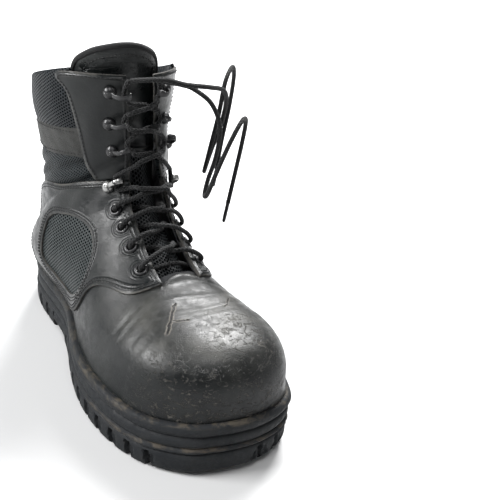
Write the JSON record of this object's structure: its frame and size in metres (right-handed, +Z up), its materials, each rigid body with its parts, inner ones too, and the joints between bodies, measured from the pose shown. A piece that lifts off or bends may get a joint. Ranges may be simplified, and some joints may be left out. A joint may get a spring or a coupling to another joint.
{
  "type": "steel toe work boot",
  "caption": "Ankle-high laced safety work boot: lugged rubber sole, steel toe cap under leather, mesh panels, padded collar and tongue, eyelets and speed hooks",
  "frame": {"origin": "centre of the boot's box on the ground under the sole, the free lace ends left out", "axes": "+Z up, -Y towards the toe, +Y towards the heel, -X lateral (outer) side, +X medial side"},
  "size_m": [0.1584, 0.31, 0.2534],
  "materials": {
    "sole_rubber": "matt, moulded",
    "foam": "foam",
    "steel": "plain",
    "board": "fibre board",
    "mesh_textile": "mesh and lining textile",
    "leather": "worn, satin",
    "dark_metal": "black, rubbed at the edges",
    "lace": "braided",
    "band": "coated textile",
    "aglet": "crimped"
  },
  "bodies": {
    "foot": {"outsole": "sole_rubber", "midsole": "foam", "shank": "steel", "insole_board": "board", "footbed": "foam", "foot_lining": "mesh_textile", "steel_toe_cap": "steel", "toe_cap_liner": "foam", "vamp": "leather", "heel_counter_cover": "leather", "mesh_panel_lateral": "mesh_textile", "mesh_panel_medial": "mesh_textile", "quarter_lateral": "leather", "quarter_medial": "leather", "eyelet_lateral_1": "dark_metal", "eyelet_lateral_2": "dark_metal", "eyelet_lateral_3": "dark_metal", "eyelet_lateral_4": "dark_metal", "eyelet_medial_1": "dark_metal", "eyelet_medial_2": "dark_metal", "eyelet_medial_3": "dark_metal", "eyelet_medial_4": "dark_metal", "hook_lateral_1": "dark_metal", "hook_medial_1": "dark_metal", "lace_lower_a": "lace", "lace_lower_b": "lace", "ankle_mesh": "mesh_textile", "ankle_lining": "mesh_textile", "tongue_mesh": "mesh_textile", "lace_ankle_a": "lace", "lace_ankle_b": "lace"},
    "shaft": {"facing_lateral": "leather", "facing_medial": "leather", "collar_mesh": "mesh_textile", "collar_lining": "mesh_textile", "collar_edge": "mesh_textile", "reflective_band": "band", "hook_lateral_2": "dark_metal", "hook_lateral_3": "dark_metal", "hook_lateral_4": "dark_metal", "hook_medial_2": "dark_metal", "hook_medial_3": "dark_metal", "hook_medial_4": "dark_metal", "lace_upper_a": "lace", "lace_upper_b": "lace", "lace_end_a": "lace", "lace_end_b": "lace", "aglet_a": "aglet", "aglet_b": "aglet"},
    "tongue": {"tongue_top": "leather", "tongue_binding": "mesh_textile", "lace_keeper": "leather"}
  },
  "joints": [
    {"name": "ankle_flex", "type": "hinge", "parent": "foot", "child": "shaft", "pos_m": [0, 0.075, 0.122], "axis": [1, 0, 0], "range_deg": [-8, 6], "stiffness_Nm_per_rad": 2.5, "deforming": ["ankle_mesh", "ankle_lining", "tongue_mesh", "lace_ankle_a", "lace_ankle_b"]},
    {"name": "tongue_fold", "type": "hinge", "parent": "shaft", "child": "tongue", "pos_m": [0, 0.02, 0.168], "axis": [1, 0, 0], "range_deg": [-18, 0], "stiffness_Nm_per_rad": 0.3}
  ]
}
